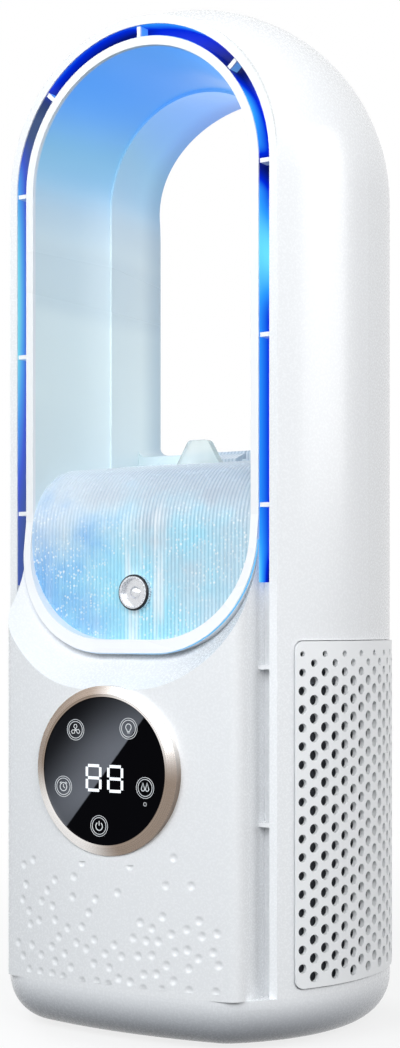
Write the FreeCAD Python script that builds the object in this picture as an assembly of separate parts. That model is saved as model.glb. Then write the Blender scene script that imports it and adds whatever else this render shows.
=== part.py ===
"""Desktop air cooler: a capsule tower with a wind loop above and an intake body below.

Millimetres, +Z up, front towards -Y. The model is drawn round the body's axis, and the exported
origin lies on the floor under the middle of the footprint.
"""
import FreeCAD, Part
import math
import os

os.makedirs("parts", exist_ok=True)

# overall body
HEIGHT = 345.0
BODY_R = 65.6
DOME_Z = HEIGHT - BODY_R
WALL = 2.6
INNER_R = BODY_R - WALL

# foot and base tray
BASE_Z = 1.0
BASE_TOP = 17.0
BASE_ROUND = 14.5
BASE_WALL = 3.0
FOOT_R = 6.0
FOOT_TOP = 3.0
FOOT_CIRCLE_R = 40.0

# flat front of the loop: rim of the shell, blowing slot, ring
FRONT_Y = -38.2
LOOP_Z = 282.4
RIM_R = 53.2
RIM_BACK_Y = -29.0
SLOT_R = 50.4
RING_R = 46.4
RING_IN_R = 43.5
RING_FLOOR = 4.4
RING_BACK_Y = -28.0
SLOT_END_Z = 148.4

# lower end of the loop: a U that leans forward
U_FLOOR_Z = 130.0
U_CORNER_R = 33.0
LEAN_TOP_Z = 170.0
LEAN_LOW_Z = 127.0
LEAN = 6.0

# cross ribs of the slot
RIB = 1.4
RIB_FRONT_Y = FRONT_Y + 0.6
RIB_BACK_Y = FRONT_Y + 5.0
SLOT_RIB_Z = (282.1, 226.9, 173.0)
ARCH_RIB_DEG = (41.5, 90.0, 138.5)
GROOVE_RIB_Z = (121.5, 71.6)

# tunnel through the loop: throat edge, tank room below, flare to the mouth in the back
LINER_WALL = 1.6
THROAT_Y = -1.0
THROAT_R = 37.6
ROOM_BACK_Y = 24.0
SILL_Z = 196.6
SILL_CORNER_R = 3.0
REAR_Y = 45.5
REAR_R = 47.0
REAR_ARCH_Z = 288.6
REAR_RISE = 38.4
FLARE_Y = 70.0
FLARE_SILL_Z = 201.5

# glowing strip at the back of the slot
STRIP_FRONT_Y = -31.0
STRIP_BACK_Y = RIM_BACK_Y

# bulging front panel with the display
PANEL_Y = -56.0
PANEL_R = 180.0
PANEL_WALL = 2.6
PANEL_BACK_Y = -32.3
GROOVE_Y = -34.3
PANEL_TOP = 166.0
PANEL_EDGE_R = 4.6
CAVITY_TOP = 106.0
FUNNEL_Y = -58.0
FUNNEL_OUT = 13.0
DISPLAY_Z = 87.9
BEZEL_R = 27.4
GLASS_R = 23.9
SEAT_Y = -51.6
BEZEL_EDGE_Y = -56.4
BEZEL_FRONT_Y = -57.8
BEZEL_LAND = 0.9
GLASS_FRONT_Y = -57.3
GLASS = 1.8
BOARD = 1.6

# perforated side covers
GRILLE_FROM = 59.5
GRILLE_TO = 149.4
GRILLE_LOW = 19.3
GRILLE_HIGH = 130.0
GRILLE_SEAT = 1.4
GRILLE_PROUD = 0.7
GRILLE_LEDGE = 1.2
GRILLE_CORNER = 3.0
HOLE_R = 2.3
HOLE_TOP_R = 1.2
HOLE_COLUMNS = 15
HOLE_ROWS = 12
HOLE_ROW = 8.6
HOLE_MARGIN = 4.6
HOLE_FADE = 20.0

# water tank and its ribbed cover below the tunnel
COVER = 1.6
COVER_FOOT_Y = -38.8
COVER_BEND_Y = -38.5
COVER_BEND_Z = 165.6
CREST_MID_Y = -34.3
CREST_MID_Z = 179.0
CREST_Y = -22.0
CREST_Z = 188.0
DECK_BACK_Z = 193.6
TANK_HALF = 33.0
TANK_FRONT_Y = -27.0
TANK_BACK_Y = 17.0
TANK_TOP = 180.0
TANK_CORNER = 30.0
NOZZLE_Z = 145.5
NOZZLE_R = 6.0
NOZZLE_HOLE_R = 4.7
NOZZLE_FRONT_Y = -41.2
NOZZLE_BACK_Y = -36.0
NOZZLE_ROUND = 0.8
DISC_DEPTH = 1.6
DISC_DOME_R = 2.6
DISC_DOME_DEPTH = 3.2

# flap over the filling hole, and its clear finger tab
FLAP_HALF = 20.0
FLAP_FRONT_Y = -9.0
FLAP_BACK_Y = 15.0
FLAP_GAP = 0.4
HINGE_Y = 18.6
HINGE_RISE = 1.9
KNUCKLE_R = 1.5
KNUCKLE_HALF = 8.0
PIN_R = 0.6
PIN_HALF = 14.0
PIN_GAP = 0.3
ARM = 1.0
TAB_BASE = 17.6
TAB_TOP = 7.8
TAB_HEIGHT = 8.2
TAB = 3.0
TAB_Y = 0.0
TAB_ROUND = 2.0

# blower
FAN_Y = 15.5
FAN_R = 41.0
FAN_HUB_R = 11.0
FAN_LOW = 84.0
FAN_HIGH = 108.0
BLADES = 7
BLADE = 1.6
BLADE_CHORD = 27.0
BLADE_CAMBER = 4.0
BLADE_PITCH = 34.0
SHAFT_R = 2.0
SHAFT_GAP = 0.3
SHAFT_TOP = 102.0
MOTOR_R = 17.0
MOTOR_LOW = 47.0
MOTOR_HIGH = 80.0
MOTOR_ROUND = 1.5
MOUNT_R = 26.0
MOUNT_PLATE = 3.0
POST_R = 3.0
POST_CIRCLE_R = 21.0
SHROUD_R = 43.0
SHROUD = 2.0
SHROUD_LOW = 80.0
DECK_LOW = 116.0
DECK = 2.0

# power inlet at the back
INLET_HALF = 7.0
INLET_Z = 34.0
INLET_TALL = 10.0
INLET_FRONT_Y = 57.0
INLET_BACK_Y = 65.0
INLET_BORE_R = 2.9
INLET_BORE = 6.0

FAR = 400.0


def at(x, y, z):
    return FreeCAD.Vector(x, y, z)


X_AXIS = at(1, 0, 0)
Y_AXIS = at(0, 1, 0)
Z_AXIS = at(0, 0, 1)


def box(x0, x1, y0, y1, z0, z1):
    return Part.makeBox(x1 - x0, y1 - y0, z1 - z0, at(x0, y0, z0))


def cylinder_y(radius, y0, y1, x, z):
    return Part.makeCylinder(radius, y1 - y0, at(x, y0, z), Y_AXIS)


def cylinder_x(radius, x0, x1, y, z):
    return Part.makeCylinder(radius, x1 - x0, at(x0, y, z), X_AXIS)


def post(radius, z0, z1, x=0.0, y=0.0):
    return Part.makeCylinder(radius, z1 - z0, at(x, y, z0))


def tube_z(outer, inner, z0, z1, y=0.0):
    return post(outer, z0, z1, 0, y).cut(post(inner, z0, z1, 0, y))


def line(a, b):
    return Part.makeLine(at(*a), at(*b))


def arc(a, middle, b):
    return Part.Arc(at(*a), at(*middle), at(*b)).toShape()


def prism(edges, direction):
    return Part.Face(Part.Wire(edges)).extrude(direction)


def polygon_x(points, half):
    """Side outline of (y, z) points, as wide as plus and minus half."""
    corners = [at(-half, y, z) for y, z in points]
    return Part.Face(Part.makePolygon(corners + corners[:1])).extrude(at(2 * half, 0, 0))


def arch_edge(half, rise, y, z):
    """Half-round arch, or a flatter one where it rises less than half its width."""
    if rise == half:
        return arc((-half, y, z), (0, y, z + half), (half, y, z))
    oval = Part.Ellipse(at(-half, y, z), at(0, y, z + rise), at(0, y, z))
    return Part.ArcOfEllipse(oval, 0, math.pi).toShape()


def loop_wire(half, y, arch_z=LOOP_Z, floor_z=U_FLOOR_Z, corner=U_CORNER_R, rise=None):
    """Front outline of the loop: arched top, upright sides, rounded U at the bottom."""
    inside = half - corner
    low = floor_z + corner
    bend = corner * math.sqrt(0.5)
    return Part.Wire([
        line((-half, y, low), (-half, y, arch_z)),
        arch_edge(half, rise or half, y, arch_z),
        line((half, y, arch_z), (half, y, low)),
        arc((half, y, low), (inside + bend, y, low - bend), (inside, y, floor_z)),
        line((inside, y, floor_z), (-inside, y, floor_z)),
        arc((-inside, y, floor_z), (-inside - bend, y, low - bend), (-half, y, low)),
    ])


def ring_outline(y, grow=0.0):
    """Outer edge of the ring, or an outline that much wider all round."""
    corner = U_CORNER_R + RING_R - RING_IN_R + grow
    return loop_wire(RING_R + grow, y, LOOP_Z, U_FLOOR_Z - RING_FLOOR - grow, corner)


def ring_block(y0, y1):
    return Part.Face(ring_outline(y0)).extrude(at(0, y1 - y0, 0))


def arch_block(half, y0, y1, low):
    """Half-round arch on upright sides, open below at the given height."""
    return prism([
        line((-half, y0, low), (-half, y0, LOOP_Z)),
        arc((-half, y0, LOOP_Z), (0, y0, LOOP_Z + half), (half, y0, LOOP_Z)),
        line((half, y0, LOOP_Z), (half, y0, low)),
        line((half, y0, low), (-half, y0, low)),
    ], at(0, y1 - y0, 0))


def capsule(radius, low):
    """Upright cylinder with a half-ball top."""
    bend = radius * math.sqrt(0.5)
    profile = Part.Wire([
        line((0, 0, low), (radius, 0, low)),
        line((radius, 0, low), (radius, 0, DOME_Z)),
        arc((radius, 0, DOME_Z), (bend, 0, DOME_Z + bend), (0, 0, DOME_Z + radius)),
        line((0, 0, DOME_Z + radius), (0, 0, low)),
    ])
    return Part.Face(profile).revolve(at(0, 0, 0), Z_AXIS, 360)


def sector(r0, r1, from_deg, to_deg, z0, z1):
    """Piece of a ring; angles count from the front towards the right side."""
    ring = tube_z(r1, r0, z0, z1)
    wedge = Part.makeCylinder(2 * r1, z1 - z0, at(0, 0, z0), Z_AXIS, to_deg - from_deg)
    wedge.rotate(at(0, 0, 0), Z_AXIS, from_deg - 90)
    return ring.common(wedge)


def mirrored(shape):
    return shape.mirror(at(0, 0, 0), X_AXIS)


def liner_section(radius, y, grow=0.0):
    corner = U_CORNER_R * radius / RING_IN_R
    return loop_wire(radius + grow, y, LOOP_Z, U_FLOOR_Z - grow, corner + grow)


def mouth_radius(y):
    """The front tunnel narrows evenly from the ring's front to the throat."""
    return RING_IN_R + (THROAT_R - RING_IN_R) * (y - FRONT_Y) / (THROAT_Y - FRONT_Y)


def mouth_space(y0, y1, grow=0.0):
    sections = [liner_section(mouth_radius(y), y, grow) for y in (y0, y1)]
    return Part.makeLoft(sections, True, True)


def flare_section(y, floor_z, corner, grow=0.0):
    """Outline of the tunnel behind the throat, widening evenly to the mouth in the back."""
    share = (y - THROAT_Y) / (REAR_Y - THROAT_Y)
    throat = THROAT_R - LINER_WALL / 2
    half = throat + (REAR_R - throat) * share
    rise = throat + (REAR_RISE - throat) * share
    arch_z = LOOP_Z + (REAR_ARCH_Z - LOOP_Z) * share
    return loop_wire(half + grow, y, arch_z, floor_z - grow, corner + grow, rise + grow)


def room_section(y, grow=0.0):
    return flare_section(y, U_FLOOR_Z, U_CORNER_R * THROAT_R / RING_IN_R, grow)


def room_space(grow=0.0):
    """Space behind the throat, above and around the tank."""
    return Part.makeLoft([room_section(y, grow) for y in (THROAT_Y, ROOM_BACK_Y)], True, True)


def flare_space(grow=0.0):
    """Space above the sill, from the tank's room out of the back."""
    ends = ((ROOM_BACK_Y, SILL_Z), (FLARE_Y, FLARE_SILL_Z))
    return Part.makeLoft([flare_section(y, z, SILL_CORNER_R, grow) for y, z in ends], True, True)


def panel_arc_y(x, inset=0.0):
    """Depth of the bulging front at a distance x from the middle."""
    radius = PANEL_R - inset
    return PANEL_Y + PANEL_R - math.sqrt(radius**2 - x**2)


def body_plan(inset, z0, z1):
    """Floor plan of the lower body: a circle flattened by the bulging front."""
    centre_y = PANEL_Y + PANEL_R
    front_r = PANEL_R - inset
    body_r = BODY_R - inset
    y = (centre_y**2 - front_r**2 + body_r**2) / (2 * centre_y)
    x = math.sqrt(body_r**2 - y**2)
    return prism([
        arc((-x, y, z0), (0, centre_y - front_r, z0), (x, y, z0)),
        arc((x, y, z0), (0, body_r, z0), (-x, y, z0)),
    ], at(0, 0, z1 - z0))


def rounded_plan(inset, z0, z1, rounding):
    solid = body_plan(inset, z0, z1)
    upright = [edge for edge in solid.Edges if edge.BoundBox.ZLength > 1]
    solid = solid.makeFillet(BODY_R / 3, upright)
    low = [edge for edge in solid.Edges if edge.BoundBox.ZMax < z0 + 0.1]
    return solid.makeFillet(rounding, low)


def circle_places(count, radius, start_deg):
    for index in range(count):
        angle = math.radians(start_deg + 360.0 * index / count)
        yield radius * math.cos(angle), radius * math.sin(angle)


def make_base_tray():
    """Rounded bottom with a ledge that closes each groove of the front panel below."""
    tray = rounded_plan(0, BASE_Z, BASE_TOP, BASE_ROUND)
    hollow = rounded_plan(BASE_WALL, BASE_Z + BASE_WALL, BASE_TOP, BASE_ROUND - BASE_WALL)
    pockets = [Part.makeCylinder(FOOT_R, FOOT_TOP - BASE_Z, at(x, y, BASE_Z))
               for x, y in circle_places(4, FOOT_CIRCLE_R, 45)]
    ledge = box(RING_R - BASE_WALL, SLOT_R + BASE_WALL, -FAR, GROOVE_Y + BASE_WALL, BASE_TOP - BASE_WALL, BASE_TOP)
    ledges = ledge.fuse(mirrored(ledge)).common(tray)
    return tray.cut([hollow] + pockets).fuse(ledges).removeSplitter()


def make_feet():
    return [Part.makeCylinder(FOOT_R, FOOT_TOP, at(x, y, 0)) for x, y in circle_places(4, FOOT_CIRCLE_R, 45)]


def grille_plate(margin, r0, r1):
    """Round-cornered piece of the side wall, drawn in by a margin on all four edges."""
    lean = math.degrees(margin / BODY_R)
    plate = sector(r0, r1, GRILLE_FROM + lean, GRILLE_TO - lean, GRILLE_LOW + margin, GRILLE_HIGH - margin)
    corners = [edge for edge in plate.Edges
               if edge.BoundBox.ZLength < 0.01 and isinstance(edge.Curve, Part.Line)]
    return plate.makeFillet(GRILLE_CORNER, corners)


def grille_drills():
    """Staggered columns of radial drills, smaller towards the top edge."""
    margin_deg = math.degrees(HOLE_MARGIN / BODY_R)
    pitch_deg = (GRILLE_TO - GRILLE_FROM - 2 * margin_deg) / (HOLE_COLUMNS - 1)
    drills = []
    for column in range(HOLE_COLUMNS):
        angle = math.radians(GRILLE_FROM + margin_deg + column * pitch_deg)
        outwards = at(math.sin(angle), -math.cos(angle), 0)
        rise = HOLE_ROW / 2 * (column % 2)
        for row in range(HOLE_ROWS):
            z = GRILLE_LOW + HOLE_MARGIN + rise + row * HOLE_ROW
            fade = min(1.0, (GRILLE_HIGH - HOLE_MARGIN - z) / HOLE_FADE)
            radius = HOLE_TOP_R + (HOLE_R - HOLE_TOP_R) * fade
            start = outwards * (INNER_R - 1) + at(0, 0, z)
            drills.append(Part.makeCylinder(radius, 2 * WALL + 2, start, outwards))
    return drills


def make_grille():
    """Intake cover on the round wall, with its staggered holes."""
    return grille_plate(0.0, BODY_R - GRILLE_SEAT, BODY_R + GRILLE_PROUD).cut(grille_drills())


def make_shell():
    """One moulding: capsule wall, flat rim with its return into the slot, tunnel mouth, two side windows."""
    rim = arch_block(RIM_R, FRONT_Y, RIM_BACK_Y, BASE_TOP)
    outside = capsule(BODY_R, BASE_TOP)
    wall = outside.cut(capsule(INNER_R, BASE_TOP)).fuse(rim)
    in_front = box(-FAR, FAR, -FAR, FRONT_Y, 0, FAR)
    mouth = arch_block(SLOT_R, FRONT_Y - 1, RIM_BACK_Y, BASE_TOP)
    back_hole = flare_space(LINER_WALL)
    tools = [in_front, mouth, back_hole]
    seat = grille_plate(0.0, BODY_R - GRILLE_SEAT, BODY_R + GRILLE_PROUD)
    window = grille_plate(GRILLE_LEDGE, INNER_R - 1, BODY_R + 1)
    for tool in (seat, window):
        tools += [tool, mirrored(tool)]
    tools.append(inlet_space())
    return wall.cut(tools)


def inlet_space():
    low = INLET_Z - INLET_TALL / 2
    return box(-INLET_HALF, INLET_HALF, INLET_FRONT_Y, BODY_R + 1, low, low + INLET_TALL)


def make_power_inlet():
    low = INLET_Z - INLET_TALL / 2
    block = box(-INLET_HALF, INLET_HALF, INLET_FRONT_Y, INLET_BACK_Y, low, low + INLET_TALL)
    return block.cut(cylinder_y(INLET_BORE_R, INLET_BACK_Y - INLET_BORE, INLET_BACK_Y, 0, INLET_Z))


def ring_depth():
    """Side outline that the ring fills: flat above, leaning forward below."""
    return polygon_x([
        (FRONT_Y, FAR),
        (FRONT_Y, LEAN_TOP_Z),
        (FRONT_Y - LEAN, LEAN_LOW_Z),
        (FRONT_Y - LEAN, LEAN_LOW_Z - U_CORNER_R),
        (RING_BACK_Y, LEAN_LOW_Z - U_CORNER_R),
        (RING_BACK_Y, FAR),
    ], FAR)


def slot_ribs():
    ribs = []
    for z in SLOT_RIB_Z:
        rib = box(RING_IN_R + 1, SLOT_R, RIB_FRONT_Y, RIB_BACK_Y, z - RIB / 2, z + RIB / 2)
        ribs += [rib, mirrored(rib)]
    for angle in ARCH_RIB_DEG:
        rib = box(RING_IN_R + 1, RIM_R, RIB_FRONT_Y, RIB_BACK_Y, LOOP_Z - RIB / 2, LOOP_Z + RIB / 2)
        rib.rotate(at(0, 0, LOOP_Z), at(0, -1, 0), angle)
        ribs.append(rib.common(arch_block(SLOT_R, FRONT_Y, RIM_BACK_Y, BASE_TOP)))
    return ribs


def make_loop_frame():
    """Ring between slot and tunnel, with the cross ribs that hold it to the shell's rim."""
    reach = FRONT_Y - LEAN - 1
    ring = ring_block(reach, RING_BACK_Y).cut(mouth_space(reach, RING_BACK_Y))
    return ring.common(ring_depth()).fuse(slot_ribs()).removeSplitter()


def make_liner_front():
    return mouth_space(RING_BACK_Y, THROAT_Y, LINER_WALL).cut(mouth_space(RING_BACK_Y, THROAT_Y))


def make_liner_rear():
    """Flare of the tunnel, with the wall that closes the tank's room below the sill."""
    bulkhead = Part.Face(room_section(ROOM_BACK_Y, LINER_WALL)).extrude(at(0, LINER_WALL, 0))
    outer = room_space(LINER_WALL).fuse([bulkhead, flare_space(LINER_WALL)])
    return outer.cut([room_space(), flare_space()]).common(capsule(BODY_R, BASE_TOP))


def make_light_strip():
    outer = arch_block(SLOT_R, STRIP_FRONT_Y, STRIP_BACK_Y, SLOT_END_Z)
    return outer.cut(arch_block(RING_R, STRIP_FRONT_Y, STRIP_BACK_Y, SLOT_END_Z))


def panel_plan(half, inset, back_y, z0, z1):
    """Space behind the bulging front, out to plus and minus half."""
    y = panel_arc_y(half, inset)
    return prism([
        arc((-half, y, z0), (0, PANEL_Y + inset, z0), (half, y, z0)),
        line((half, y, z0), (half, back_y, z0)),
        line((half, back_y, z0), (-half, back_y, z0)),
        line((-half, back_y, z0), (-half, y, z0)),
    ], at(0, 0, z1 - z0))


def funnel():
    """Scoop round the foot of the loop, widening towards the front."""
    return Part.makeLoft([ring_outline(FRONT_Y), ring_outline(FUNNEL_Y, FUNNEL_OUT)], True, True)


def make_front_panel():
    """Bulging cover with the scoop under the loop, a flanged groove on each side and the display seat."""
    block = panel_plan(RING_R, 0.0, PANEL_BACK_Y, BASE_TOP, PANEL_TOP)
    long_edges = [edge for edge in block.Edges
                  if edge.BoundBox.ZLength > 100 and edge.BoundBox.YMin < GROOVE_Y - 1]
    block = block.makeFillet(PANEL_EDGE_R, long_edges)
    loop_space = ring_block(FUNNEL_Y, PANEL_BACK_Y)
    above_lean = polygon_x([
        (FUNNEL_Y, FAR),
        (FUNNEL_Y, LEAN_TOP_Z),
        (FRONT_Y, LEAN_TOP_Z),
        (FRONT_Y, FAR),
    ], FAR)
    cavity = panel_plan(RING_R - PANEL_WALL, PANEL_WALL, PANEL_BACK_Y, BASE_TOP, CAVITY_TOP)
    seat = cylinder_y(BEZEL_R, FUNNEL_Y, SEAT_Y, 0, DISPLAY_Z)
    hole = cylinder_y(GLASS_R, FUNNEL_Y, PANEL_BACK_Y, 0, DISPLAY_Z)
    boss = cylinder_y(BEZEL_R + PANEL_WALL, SEAT_Y, SEAT_Y + PANEL_WALL, 0, DISPLAY_Z)
    block = block.cut(cavity).fuse(boss).cut([funnel(), loop_space, above_lean, seat, hole])
    flange = box(RING_R, SLOT_R, GROOVE_Y, PANEL_BACK_Y, BASE_TOP, SLOT_END_Z)
    extras = [flange, mirrored(flange)]
    for z in GROOVE_RIB_Z:
        rib = box(RING_R, SLOT_R, FRONT_Y, GROOVE_Y, z - RIB / 2, z + RIB / 2)
        extras += [rib, mirrored(rib)]
    return block.fuse(extras).removeSplitter()


def make_bezel():
    """Bevelled metal ring round the display."""
    land_r = GLASS_R + BEZEL_LAND
    corners = [
        at(GLASS_R, SEAT_Y, 0),
        at(BEZEL_R, SEAT_Y, 0),
        at(BEZEL_R, BEZEL_EDGE_Y, 0),
        at(land_r, BEZEL_FRONT_Y, 0),
        at(GLASS_R, BEZEL_FRONT_Y, 0),
    ]
    ring = Part.Face(Part.makePolygon(corners + corners[:1])).revolve(at(0, 0, 0), Y_AXIS, 360)
    ring.translate(at(0, 0, DISPLAY_Z))
    return ring


def make_display_glass():
    return cylinder_y(GLASS_R, GLASS_FRONT_Y, GLASS_FRONT_Y + GLASS, 0, DISPLAY_Z)


def make_display_board():
    front = GLASS_FRONT_Y + GLASS
    return cylinder_y(GLASS_R, front, front + BOARD, 0, DISPLAY_Z)


def tunnel_space():
    """Open space of the ring and the tunnel behind it."""
    return mouth_space(FRONT_Y - LEAN - 1, THROAT_Y).fuse(room_space())


def deck_z(y):
    return CREST_Z + (DECK_BACK_Z - CREST_Z) * (y - CREST_Y) / (ROOM_BACK_Y - CREST_Y)


def cover_wall():
    """Ribbed cover seen from the side: steep front, rounded crest, deck rising to the back."""
    half = RING_R
    slant = COVER * math.sqrt(0.5)
    middle = (-half, CREST_MID_Y, CREST_MID_Z)
    inner = (-half, CREST_MID_Y + slant, CREST_MID_Z - slant)
    return prism([
        line((-half, COVER_FOOT_Y, U_FLOOR_Z), (-half, COVER_BEND_Y, COVER_BEND_Z)),
        arc((-half, COVER_BEND_Y, COVER_BEND_Z), middle, (-half, CREST_Y, CREST_Z)),
        line((-half, CREST_Y, CREST_Z), (-half, ROOM_BACK_Y, DECK_BACK_Z)),
        line((-half, ROOM_BACK_Y, DECK_BACK_Z), (-half, ROOM_BACK_Y, DECK_BACK_Z - COVER)),
        line((-half, ROOM_BACK_Y, DECK_BACK_Z - COVER), (-half, CREST_Y, CREST_Z - COVER)),
        arc((-half, CREST_Y, CREST_Z - COVER), inner, (-half, COVER_BEND_Y + COVER, COVER_BEND_Z)),
        line((-half, COVER_BEND_Y + COVER, COVER_BEND_Z), (-half, COVER_FOOT_Y + COVER, U_FLOOR_Z)),
        line((-half, COVER_FOOT_Y + COVER, U_FLOOR_Z), (-half, COVER_FOOT_Y, U_FLOOR_Z)),
    ], at(2 * half, 0, 0))


def make_tank_cover():
    nozzle_hole = cylinder_y(NOZZLE_R, FUNNEL_Y, TANK_FRONT_Y, 0, NOZZLE_Z)
    half = FLAP_HALF + FLAP_GAP
    fill_hole = box(-half, half, FLAP_FRONT_Y - FLAP_GAP, FLAP_BACK_Y + FLAP_GAP, TANK_TOP, DECK_BACK_Z)
    cover = cover_wall().common(tunnel_space()).cut([nozzle_hole, fill_hole])
    return cover.fuse(hinge_lugs()).removeSplitter()


def hinge_z():
    return deck_z(HINGE_Y) + HINGE_RISE


def hinge_lugs():
    lugs = []
    for x0, x1 in ((-PIN_HALF, -KNUCKLE_HALF - PIN_GAP), (KNUCKLE_HALF + PIN_GAP, PIN_HALF)):
        lug = cylinder_x(KNUCKLE_R, x0, x1, HINGE_Y, hinge_z())
        web = box(x0, x1, HINGE_Y - KNUCKLE_R, HINGE_Y + KNUCKLE_R, deck_z(HINGE_Y) - COVER / 2, hinge_z())
        lugs.append(lug.fuse(web).cut(cylinder_x(PIN_R, x0, x1, HINGE_Y, hinge_z())))
    return lugs


def make_hinge_pin():
    return cylinder_x(PIN_R, -PIN_HALF, PIN_HALF, HINGE_Y, hinge_z())


def make_fill_flap():
    """Flap flush with the deck over the filling hole, swinging up on its rear knuckle."""
    plate = polygon_x([
        (FLAP_FRONT_Y, deck_z(FLAP_FRONT_Y) - COVER),
        (FLAP_BACK_Y, deck_z(FLAP_BACK_Y) - COVER),
        (FLAP_BACK_Y, deck_z(FLAP_BACK_Y)),
        (FLAP_FRONT_Y, deck_z(FLAP_FRONT_Y)),
    ], FLAP_HALF)
    arm_y = FLAP_BACK_Y - 4 * ARM
    arm = polygon_x([
        (arm_y, deck_z(arm_y) - COVER / 2),
        (FLAP_BACK_Y, deck_z(FLAP_BACK_Y) - COVER / 2),
        (FLAP_BACK_Y, deck_z(FLAP_BACK_Y) + FLAP_GAP),
        (HINGE_Y, hinge_z() - ARM),
        (HINGE_Y, hinge_z() + ARM),
        (arm_y, deck_z(arm_y) + ARM),
    ], KNUCKLE_HALF)
    knuckle = cylinder_x(KNUCKLE_R, -KNUCKLE_HALF, KNUCKLE_HALF, HINGE_Y, hinge_z())
    bore = cylinder_x(PIN_R + PIN_GAP, -KNUCKLE_HALF, KNUCKLE_HALF, HINGE_Y, hinge_z())
    return plate.fuse([arm, knuckle]).cut(bore).removeSplitter()


def make_flap_tab():
    """Clear finger tab standing on the flap, narrower and rounded at its top."""
    front = TAB_Y - TAB / 2
    back = TAB_Y + TAB / 2
    high = deck_z(TAB_Y) + TAB_HEIGHT
    low = deck_z(front)
    corners = [at(x, front, z) for x, z in (
        (-TAB_BASE / 2, low), (-TAB_TOP / 2, high), (TAB_TOP / 2, high), (TAB_BASE / 2, low))]
    blade = Part.Face(Part.makePolygon(corners + corners[:1])).extrude(at(0, TAB, 0))
    above_flap = polygon_x([(front, low), (back, deck_z(back)), (back, FAR), (front, FAR)], FAR)
    blade = blade.common(above_flap)
    shoulders = [edge for edge in blade.Edges
                 if edge.BoundBox.ZMin > high - 0.1 and edge.BoundBox.XLength < 0.1]
    return blade.makeFillet(TAB_ROUND, shoulders)


def make_tank():
    """Open water tank with a round-cornered trough section, standing on the tunnel floor."""
    def trough(half, corner, floor_z, y0, y1):
        wire = loop_wire(half, y0, TANK_TOP, floor_z, corner)
        return Part.Face(wire).extrude(at(0, y1 - y0, 0))
    outer = trough(TANK_HALF, TANK_CORNER, U_FLOOR_Z, TANK_FRONT_Y, TANK_BACK_Y)
    inner = trough(TANK_HALF - LINER_WALL, TANK_CORNER - LINER_WALL, U_FLOOR_Z + LINER_WALL,
                   TANK_FRONT_Y + LINER_WALL, TANK_BACK_Y - LINER_WALL)
    above = box(-FAR, FAR, -FAR, FAR, TANK_TOP, FAR)
    return outer.cut([inner, above])


def make_nozzle_ring():
    ring = cylinder_y(NOZZLE_R, NOZZLE_FRONT_Y, NOZZLE_BACK_Y, 0, NOZZLE_Z)
    rim = [edge for edge in ring.Edges if edge.BoundBox.YMax < NOZZLE_FRONT_Y + 0.1]
    ring = ring.makeFillet(NOZZLE_ROUND, rim)
    return ring.cut(cylinder_y(NOZZLE_HOLE_R, NOZZLE_FRONT_Y, NOZZLE_BACK_Y, 0, NOZZLE_Z))


def make_mist_disc():
    """Metal disc of the mist maker, with its domed middle."""
    disc = cylinder_y(NOZZLE_HOLE_R, NOZZLE_FRONT_Y + DISC_DEPTH, NOZZLE_BACK_Y, 0, NOZZLE_Z)
    ball = Part.makeSphere(DISC_DOME_R, at(0, NOZZLE_FRONT_Y + DISC_DOME_DEPTH, NOZZLE_Z))
    return disc.fuse(ball.common(cylinder_y(NOZZLE_HOLE_R, FUNNEL_Y, NOZZLE_BACK_Y, 0, NOZZLE_Z)))


def make_impeller():
    """Axial blower wheel with cambered, pitched blades on a domed hub."""
    hub = post(FAN_HUB_R, FAN_LOW, FAN_HIGH)
    top = [edge for edge in hub.Edges if edge.BoundBox.ZMin > FAN_HIGH - 0.1]
    hub = hub.makeFillet(FAN_HUB_R / 2, top)
    half = BLADE_CHORD / 2
    start = FAN_HUB_R / 2
    blade = prism([
        arc((start, -half, 0), (start, 0, BLADE_CAMBER), (start, half, 0)),
        line((start, half, 0), (start, half, -BLADE)),
        arc((start, half, -BLADE), (start, 0, BLADE_CAMBER - BLADE), (start, -half, -BLADE)),
        line((start, -half, -BLADE), (start, -half, 0)),
    ], at(FAN_R, 0, 0))
    blade.rotate(at(0, 0, 0), X_AXIS, BLADE_PITCH)
    blade.translate(at(0, 0, (FAN_LOW + FAN_HIGH) / 2))
    blade = blade.common(post(FAN_R, FAN_LOW, FAN_HIGH))
    blades = []
    for index in range(BLADES):
        turned = blade.copy()
        turned.rotate(at(0, 0, 0), Z_AXIS, 360.0 * index / BLADES)
        blades.append(turned)
    bore = post(SHAFT_R + SHAFT_GAP, FAN_LOW, SHAFT_TOP + SHAFT_GAP)
    wheel = hub.fuse(blades).cut(bore).removeSplitter()
    wheel.translate(at(0, FAN_Y, 0))
    return wheel


def make_motor():
    can = post(MOTOR_R, MOTOR_LOW, MOTOR_HIGH, 0, FAN_Y)
    rims = [edge for edge in can.Edges if edge.BoundBox.ZLength < 0.01]
    return can.makeFillet(MOTOR_ROUND, rims).fuse(post(SHAFT_R, MOTOR_HIGH, SHAFT_TOP, 0, FAN_Y))


def make_motor_mount():
    plate_low = MOTOR_LOW - MOUNT_PLATE
    plate = post(MOUNT_R, plate_low, MOTOR_LOW, 0, FAN_Y)
    legs = [post(POST_R, BASE_Z + BASE_WALL, plate_low, x, FAN_Y + y)
            for x, y in circle_places(4, POST_CIRCLE_R, 0)]
    return plate.fuse(legs)


def make_shroud():
    return tube_z(SHROUD_R + SHROUD, SHROUD_R, SHROUD_LOW, DECK_LOW, FAN_Y)


def make_air_deck():
    """Floor between the intake space and the air way to the slot."""
    plate = post(INNER_R, DECK_LOW, DECK_LOW + DECK).cut(post(SHROUD_R, DECK_LOW, DECK_LOW + DECK, 0, FAN_Y))
    return plate.cut(box(-FAR, FAR, -FAR, RIM_BACK_Y, 0, FAR))


def export(node, shape):
    """Write a node, with the origin moved under the middle of the whole footprint."""
    shape.translate(at(0, -(BODY_R + BEZEL_FRONT_Y) / 2, 0))
    shape.exportStep(f"parts/{node}.step")


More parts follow.
